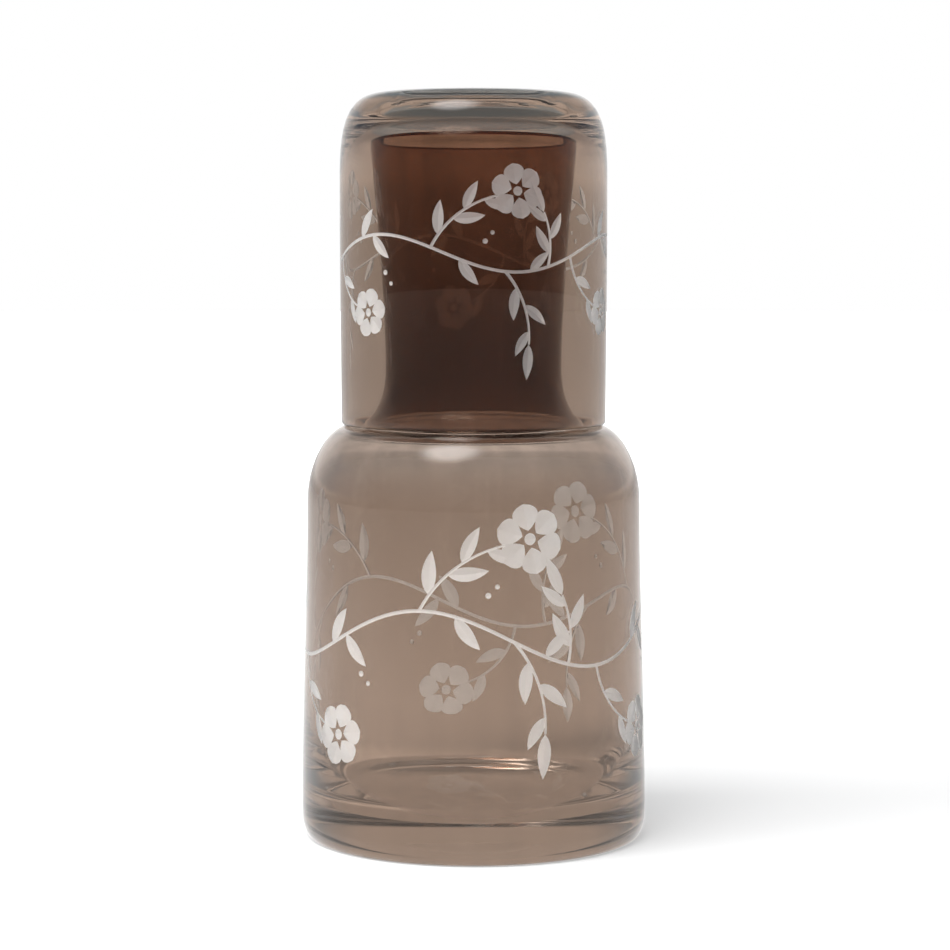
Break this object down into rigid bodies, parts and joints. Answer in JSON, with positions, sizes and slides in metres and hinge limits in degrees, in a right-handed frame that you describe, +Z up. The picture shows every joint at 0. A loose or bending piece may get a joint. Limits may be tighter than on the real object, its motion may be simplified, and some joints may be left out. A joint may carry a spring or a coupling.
{
  "type": "bedside carafe with tumbler",
  "caption": "Thin-walled tinted glass bedside carafe whose drinking tumbler stands upside down over its neck as a lid and lifts straight off.",
  "frame": {"origin": "centre of the carafe's standing ring, on the surface that it stands on", "axes": "+Z up along the axis of both glasses; +X to the right and +Y away in the front view"},
  "size_m": [0.096, 0.096, 0.206],
  "materials": {
    "carafe_glass": "fire-polished, tinted smoky brown, with shallow matt engraving outside",
    "tumbler_glass": "fire-polished, tinted smoky brown, with shallow matt engraving outside"
  },
  "bodies": {
    "carafe": {"carafe": "carafe_glass"},
    "tumbler": {"tumbler": "tumbler_glass"}
  },
  "joints": [
    {"name": "tumbler_lift", "type": "slide", "parent": "carafe", "child": "tumbler", "axis": [0, 0, 1], "range_m": [0, 0.11]}
  ]
}
